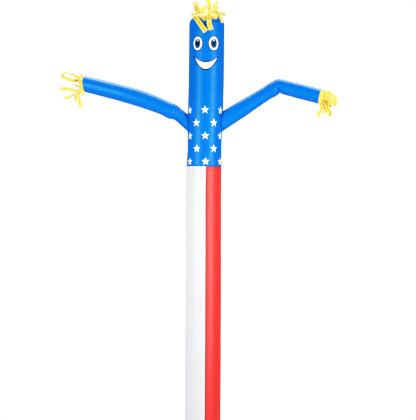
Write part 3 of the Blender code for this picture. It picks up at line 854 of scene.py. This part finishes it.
def finish_nylon(material, colour, cloth, place, shine, crinkle_height=CRINKLE_HEIGHT):
    """The dye is a little uneven, and crinkles and rip-stop threads catch the light."""
    tree = material.node_tree
    patches = add(tree, "TexNoise", {"Vector": place, "Scale": 1 / DYE_PATCH_SIZE, "Detail": 3.0})
    tone = add(tree, "MapRange", {
        "Value": patches, "From Min": 0.3, "From Max": 0.7, "To Min": 0.95, "To Max": 1.04,
    })
    dyed = add(tree, "HueSaturation", {"Value": tone, "Color": colour})
    crinkles = add(tree, "TexNoise", {
        "Vector": place, "Scale": 1 / CRINKLE_SIZE, "Detail": 4.0, "Roughness": 0.6, "Distortion": 0.6,
    })
    sheen = add(tree, "MapRange", {
        "Value": crinkles, "From Min": 0.3, "From Max": 0.7,
        "To Min": NYLON_ROUGHNESS - 0.05, "To Max": NYLON_ROUGHNESS + 0.07,
    })
    thread = add(tree, "VectorMath", [cloth, (RIPSTOP_PITCH,) * 3], operation="DIVIDE")
    thread = add(tree, "VectorMath", [thread], operation="FRACTION")
    thread = add(tree, "SeparateXYZ", [thread])
    warp = add(tree, "Math", [thread.outputs["X"], RIPSTOP_THREAD], operation="LESS_THAN")
    weft = add(tree, "Math", [thread.outputs["Y"], RIPSTOP_THREAD], operation="LESS_THAN")
    grid = add(tree, "Math", [warp, weft], operation="MAXIMUM")
    height = add(tree, "Math", [crinkles, crinkle_height], operation="MULTIPLY")
    height = add(tree, "Math", [grid, RIPSTOP_HEIGHT, height], operation="MULTIPLY_ADD")
    bump = add(tree, "Bump", {"Height": height, "Strength": 0.8, "Distance": 1.0})
    shader = tree.nodes["Principled BSDF"]
    tree.links.new(dyed.outputs[0], shader.inputs["Base Color"])
    tree.links.new(sheen.outputs[0], shader.inputs["Roughness"])
    tree.links.new(bump.outputs[0], shader.inputs["Normal"])
    shader.inputs["IOR"].default_value = NYLON_IOR
    shader.inputs["Specular IOR Level"].default_value = CLOTH_GLOSS
    shader.inputs["Specular Tint"].default_value = shine
    return material


# The print, in metres on the flat cloth: across from the line at the front, and up from the floor
STARS_ROUND = 6
STAR_STEP = math.tau * CLOTH_RADIUS / STARS_ROUND
STAR_ROW_STEP = 0.1665
STAR_LOWEST_ROW = 4.206
STAR_LEAN = -0.039
STAR_STRAIGHT_ROW = 4.690
STAR_ROWS = 5
STAR_POINT = 0.055
STAR_NOTCH = 0.0225
FACE_MIDDLE = -0.014
EYE_APART = 0.110
EYE_HEIGHT = 5.733
INK_DARK = "#04122B"
INK_WHITE = "#FFFFFF"
INK_IRIS = "#0C4678"
INK_PUPIL = "#02060E"
Oval = namedtuple("Oval", "right up half_width half_height ink")
EYE = [
    Oval(EYE_APART, EYE_HEIGHT, 0.079, 0.0995, INK_DARK),
    Oval(EYE_APART, EYE_HEIGHT, 0.067, 0.0875, INK_WHITE),
    Oval(EYE_APART, EYE_HEIGHT, 0.043, 0.063, INK_IRIS),
    Oval(EYE_APART, EYE_HEIGHT, 0.020, 0.027, INK_PUPIL),
    Oval(EYE_APART, EYE_HEIGHT + 0.040, 0.010, 0.011, INK_WHITE),
]
SMILE_MIDDLE = -0.008
SMILE_HALF = 0.155
SMILE_CORNER = 5.550
SMILE_UPPER = 5.486
SMILE_LOWER = 5.402
SMILE_OUTLINE = 0.016
SMILE_TICK = Oval(0.162, 5.557, 0.009, 0.012, INK_DARK)


def oval_mask(tree, cloth, across, oval):
    """1 inside an oval that is moved across the flat cloth."""
    from_middle = add(tree, "VectorMath", [cloth, (across, oval.up, 0.0)], operation="SUBTRACT")
    size = (oval.half_width, oval.half_height, 1.0)
    scaled = add(tree, "VectorMath", [from_middle, size], operation="DIVIDE")
    length = add(tree, "VectorMath", [scaled], operation="LENGTH").outputs["Value"]
    return add(tree, "Math", [length, 1.0], operation="LESS_THAN")


def star_mask(tree, across, up):
    """1 inside five-pointed stars in staggered rows, measured from the middle of the nearest star."""
    row = add(tree, "Math", [up, STAR_LOWEST_ROW], operation="SUBTRACT")
    row = add(tree, "Math", [row, STAR_ROW_STEP], operation="DIVIDE")
    number = add(tree, "Math", [row], operation="ROUND")
    from_row = add(tree, "Math", [row, number], operation="SUBTRACT")
    rise = add(tree, "Math", [from_row, STAR_ROW_STEP], operation="MULTIPLY")
    stagger = add(tree, "Math", [number, 0.5], operation="MULTIPLY")
    lean = add(tree, "Math", [up, -STAR_LEAN, STAR_LEAN * STAR_STRAIGHT_ROW], operation="MULTIPLY_ADD")
    place = add(tree, "Math", [across, lean], operation="ADD")
    place = add(tree, "Math", [place, STAR_STEP], operation="DIVIDE")
    place = add(tree, "Math", [place, stagger], operation="ADD")
    nearest = add(tree, "Math", [place], operation="ROUND")
    place = add(tree, "Math", [place, nearest], operation="SUBTRACT")
    run = add(tree, "Math", [place, STAR_STEP], operation="MULTIPLY")
    angle = add(tree, "Math", [run, rise], operation="ARCTAN2")
    fifth = math.tau / 5
    turn = add(tree, "Math", [angle, fifth], operation="DIVIDE")
    whole = add(tree, "Math", [turn], operation="ROUND")
    turn = add(tree, "Math", [turn, whole], operation="SUBTRACT")
    turn = add(tree, "Math", [turn], operation="ABSOLUTE")
    turn = add(tree, "Math", [turn, fifth], operation="MULTIPLY")
    offset = add(tree, "CombineXYZ", [run, rise, 0.0])
    radius = add(tree, "VectorMath", [offset], operation="LENGTH").outputs["Value"]
    cosine = add(tree, "Math", [turn], operation="COSINE")
    sine = add(tree, "Math", [turn], operation="SINE")
    along = add(tree, "Math", [radius, cosine], operation="MULTIPLY")
    aside = add(tree, "Math", [radius, sine], operation="MULTIPLY")
    notch_along = STAR_NOTCH * math.cos(fifth / 2)
    notch_aside = STAR_NOTCH * math.sin(fifth / 2)
    slope = (STAR_POINT - notch_along) / notch_aside
    reach = add(tree, "Math", [aside, slope, along], operation="MULTIPLY_ADD")
    inside = add(tree, "Math", [reach, STAR_POINT], operation="LESS_THAN")
    above = add(tree, "Math", [number, -0.5], operation="GREATER_THAN")
    below = add(tree, "Math", [number, STAR_ROWS - 0.5], operation="LESS_THAN")
    inside = add(tree, "Math", [inside, above], operation="MULTIPLY")
    return add(tree, "Math", [inside, below], operation="MULTIPLY")


def smile_mask(tree, across, up, margin):
    """1 inside the crescent between two curves, or within a margin of it."""
    right = add(tree, "Math", [across, SMILE_MIDDLE], operation="SUBTRACT")
    square = add(tree, "Math", [right, right], operation="MULTIPLY")
    half = SMILE_HALF + margin
    lower_bend = (SMILE_CORNER - SMILE_LOWER + margin) / half ** 2
    upper_bend = (SMILE_CORNER - SMILE_UPPER - margin) / half ** 2
    lower = add(tree, "Math", [square, lower_bend, SMILE_LOWER - margin], operation="MULTIPLY_ADD")
    upper = add(tree, "Math", [square, upper_bend, SMILE_UPPER + margin], operation="MULTIPLY_ADD")
    over = add(tree, "Math", [up, lower], operation="GREATER_THAN")
    under = add(tree, "Math", [up, upper], operation="LESS_THAN")
    return add(tree, "Math", [over, under], operation="MULTIPLY")


def blue_printed_nylon():
    """Blue cloth, screen-printed with stars and a plain smiling face: flat matt ink with sharp edges."""
    material, tree, cloth, place = start_nylon("coated_nylon_blue_printed")
    split = add(tree, "SeparateXYZ", [cloth])
    across, up = split.outputs["X"], split.outputs["Y"]
    layers = [
        (star_mask(tree, across, up), INK_WHITE),
        (smile_mask(tree, across, up, SMILE_OUTLINE), INK_DARK),
        (smile_mask(tree, across, up, 0.0), INK_WHITE),
    ]
    for middle, oval in [(SMILE_MIDDLE, SMILE_TICK)] + [(FACE_MIDDLE, oval) for oval in EYE]:
        for side in (-1, 1):
            layers.append((oval_mask(tree, cloth, middle + side * oval.right, oval), oval.ink))
    colour = linear(BLUE)
    printed = 0.0
    for mask, ink in layers:
        colour = add(tree, "MixRGB", {"Fac": mask, "Color1": colour, "Color2": linear(ink)})
        printed = add(tree, "Math", [printed, mask], operation="MAXIMUM")
    finish_nylon(material, colour, cloth, place, BLUE_SHINE)
    shader = tree.nodes["Principled BSDF"]
    tint = add(tree, "MixRGB", {"Fac": printed, "Color1": BLUE_SHINE, "Color2": INK_SHINE})
    tree.links.new(tint.outputs[0], shader.inputs["Specular Tint"])
    level = add(tree, "MapRange", {"Value": printed, "To Min": CLOTH_GLOSS, "To Max": INK_GLOSS})
    tree.links.new(level.outputs[0], shader.inputs["Specular IOR Level"])
    return material


def blue_nylon():
    """The same cloth without a print."""
    material, _, cloth, place = start_nylon("coated_nylon_blue")
    return finish_nylon(material, linear(BLUE), cloth, place, BLUE_SHINE)


def panel_nylon(name, shade, seam_shade):
    """Cloth of a lower half: its seam allowances lie double under the edges, in another tone: whiter on
    the white, and on the red a painted shadow of the seam's groove.
    """
    material, tree, cloth, place = start_nylon(name)
    split = add(tree, "SeparateXYZ", [cloth])
    across, up = split.outputs["X"], split.outputs["Y"]
    width = CLOTH_RADIUS * math.pi
    mirrored = add(tree, "Math", [width, across], operation="SUBTRACT")
    from_side = add(tree, "Math", [across, mirrored], operation="MINIMUM")
    from_top = add(tree, "Math", [CHEST_SEAM, up], operation="SUBTRACT")
    from_edge = add(tree, "Math", [from_side, from_top], operation="MINIMUM")
    seam_band = add(tree, "Math", [from_edge, ALLOWANCE_WIDTH], operation="LESS_THAN")
    colour = add(tree, "MixRGB", {"Fac": seam_band, "Color1": linear(shade), "Color2": linear(seam_shade)})
    return finish_nylon(material, colour, cloth, place, PANEL_SHINE)


def streamer_nylon():
    """Thin yellow cloth lets light through: mottled, with painted light pale at its cut edges and the
    cap's rim, and painted shade orange in its folds.
    """
    material, tree, cloth, place = start_nylon("thin_nylon_yellow")
    fold = add(tree, "Attribute", {}, attribute_name="fold").outputs["Fac"]
    edge = add(tree, "Attribute", {}, attribute_name="edge").outputs["Fac"]
    mottle = add(tree, "TexNoise", {"Vector": place, "Scale": 1 / MOTTLE_SIZE, "Detail": 2.0})
    pale = add(tree, "MapRange", {
        "Value": mottle, "From Min": 0.42, "From Max": 0.62, "To Min": 0.0, "To Max": 0.65,
    })
    colour = add(tree, "MixRGB", {"Fac": pale, "Color1": linear(YELLOW), "Color2": linear(PALE_YELLOW)})
    # Painted shade: orange where the corners carry it
    colour = add(tree, "MixRGB", {"Fac": fold, "Color1": colour, "Color2": linear(PAINTED_SHADE_ORANGE)})
    # Painted light: pale at cut edges, tips and the cap's rim
    colour = add(tree, "MixRGB", {"Fac": edge, "Color1": colour, "Color2": linear(PALE_YELLOW)})
    shader = tree.nodes["Principled BSDF"]
    shader.inputs["Subsurface Weight"].default_value = YELLOW_GLOW
    shader.inputs["Subsurface Radius"].default_value = YELLOW_GLOW_TINT
    shader.inputs["Subsurface Scale"].default_value = YELLOW_GLOW_REACH
    return finish_nylon(material, colour, cloth, place, YELLOW_SHINE, STREAMER_CRINKLE_HEIGHT)


# Stage

FLOOR_RADIUS = 4.6
FLOOR_SHADES = ("#E9EAEC", "#F1F1F2")
FLOOR_ROUGHNESS = 0.7
MOTTLES_PER_METRE = 6.0
CAMERA_PLACE = Vector((0.0731, -20.57, 3.578))
CAMERA_LENS = 135
FILM_HEIGHT = 36
PAPER_WHITE = (1.0, 1.0, 1.0, 1.0)
ROOM_LIGHT = (0.93, 0.96, 1.0, 1.0)
ROOM_STRENGTH = 0.17
# The photo's tones: its darkest are deeper, and its light ones lie close together near white
TONES = [(0.02, 0.009), (0.12, 0.15), (0.30, 0.385), (0.55, 0.765), (0.85, 0.925)]
LAMP_SPREAD = math.radians(95)
Lamp = namedtuple("Lamp", "name place aim size power")
LAMPS = [
    Lamp("strip_left", (-5.0, -5.2, 4.2), (0.0, 0.0, 4.0), (0.8, 5.2), 118),
    Lamp("strip_right", (5.2, -5.0, 4.2), (0.0, 0.0, 4.0), (1.0, 5.2), 134),
    Lamp("overhead", (0.0, 4.0, 13.5), (0.0, 0.0, 4.4), (10.0, 2.4), 330),
]


def make_floor():
    """A round of matt vinyl floor: rolled sheet, its faint mottling barely showing from afar."""
    shape = bmesh.new()
    bmesh.ops.create_circle(shape, cap_ends=True, segments=96, radius=FLOOR_RADIUS)
    mesh = bpy.data.meshes.new("floor")
    shape.to_mesh(mesh)
    shape.free()
    floor = bpy.data.objects.new("floor", mesh)
    bpy.context.scene.collection.objects.link(floor)
    material = bpy.data.materials.new("matt_studio_vinyl")
    material.use_nodes = True
    tree = material.node_tree
    mottle = add(tree, "TexNoise", {"Scale": MOTTLES_PER_METRE, "Detail": 4.0})
    low, high = [linear(shade) for shade in FLOOR_SHADES]
    tone = add(tree, "MixRGB", {"Fac": mottle, "Color1": low, "Color2": high})
    shader = tree.nodes["Principled BSDF"]
    tree.links.new(tone.outputs[0], shader.inputs["Base Color"])
    shader.inputs["Roughness"].default_value = FLOOR_ROUGHNESS
    mesh.materials.append(material)


def make_light():
    """Two tall soft boxes in front and one overhead, in a dim white room with a paper backdrop."""
    for lamp in LAMPS:
        light = bpy.data.lights.new(lamp.name, "AREA")
        light.shape = "RECTANGLE"
        light.size, light.size_y = lamp.size
        light.energy = lamp.power
        light.spread = LAMP_SPREAD
        lit = bpy.data.objects.new(lamp.name, light)
        lit.location = lamp.place
        lit.rotation_euler = (Vector(lamp.aim) - lit.location).to_track_quat("-Z", "Y").to_euler()
        bpy.context.scene.collection.objects.link(lit)

    world = bpy.data.worlds.new("studio")
    bpy.context.scene.world = world
    world.use_nodes = True
    tree = world.node_tree
    tree.nodes.clear()
    room = add(tree, "Background", {"Color": ROOM_LIGHT, "Strength": ROOM_STRENGTH})
    paper = add(tree, "Background", {"Color": PAPER_WHITE, "Strength": 1.0})
    seen = add(tree, "LightPath", {}).outputs["Is Camera Ray"]
    mixed = add(tree, "MixShader", [seen, room, paper])
    add(tree, "OutputWorld", {"Surface": mixed})


def make_camera():
    """A long lens a little over halfway up, square to the front, with the photo's tone curve."""
    camera = bpy.data.objects.new("camera", bpy.data.cameras.new("camera"))
    camera.location = CAMERA_PLACE
    camera.rotation_euler = (math.radians(90), 0, 0)
    camera.data.lens = CAMERA_LENS
    camera.data.sensor_fit = "VERTICAL"
    camera.data.sensor_height = FILM_HEIGHT
    bpy.context.scene.collection.objects.link(camera)
    bpy.context.scene.camera = camera

    film = bpy.context.scene.view_settings
    film.view_transform = "Standard"
    film.use_curve_mapping = True
    for light, tone in TONES:
        film.curve_mapping.curves[3].points.new(light, tone)
    film.curve_mapping.update()


def dress(piece, material, slot, *nodes):
    """Gives a piece its cloth, its body, and the solids that it stands for. Its slot is not used."""
    piece.data.materials.append(material)
    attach(piece, "root")
    if nodes:
        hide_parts(*nodes)


def main():
    make_camera()
    make_floor()
    make_light()
    printed = blue_printed_nylon()
    blue = blue_nylon()
    red = panel_nylon("coated_nylon_red", RED, RED_SEAM_SHADOW)
    white = panel_nylon("coated_nylon_white", WHITE, WHITE_SEAM)
    yellow = streamer_nylon()

    tube = make_blue_tube()
    dress(tube, printed, "blue_cloth", "blue_tube")
    crown = make_crown()
    dress(crown, blue, "blue_cloth", "crown")

    for name, start, cloth, slot in (
        ("red_panel", RED_PANEL_START, red, "red_cloth"),
        ("white_panel", RED_PANEL_START + math.pi, white, "white_cloth"),
    ):
        panel = make_lower_panel(name + "_cloth", start)
        dress(panel, cloth, slot, name)

    for side, stretches, direction, belly, crease, streamers, length in (
        ("left", LEFT_SLEEVE, LEFT_WRIST_DIRECTION, LEFT_BELLY, LEFT_CREASE, LEFT_STREAMERS, 1.46),
        ("right", RIGHT_SLEEVE, RIGHT_WRIST_DIRECTION, RIGHT_BELLY, RIGHT_CREASE, RIGHT_STREAMERS, 1.42),
    ):
        sleeve = make_sleeve(f"sleeve_{side}", stretches, direction, belly, crease)
        dress(sleeve, blue, "blue_cloth", f"arm_{side}")
        cuff, strips = make_hand(side, stretches, direction, streamers)
        dress(cuff, yellow, "yellow_cloth", f"tassel_{side}")
        dress(strips, yellow, "yellow_cloth")

    cap, strips = make_hair()
    dress(cap, yellow, "yellow_cloth", "hair")
    dress(strips, yellow, "yellow_cloth")


main()
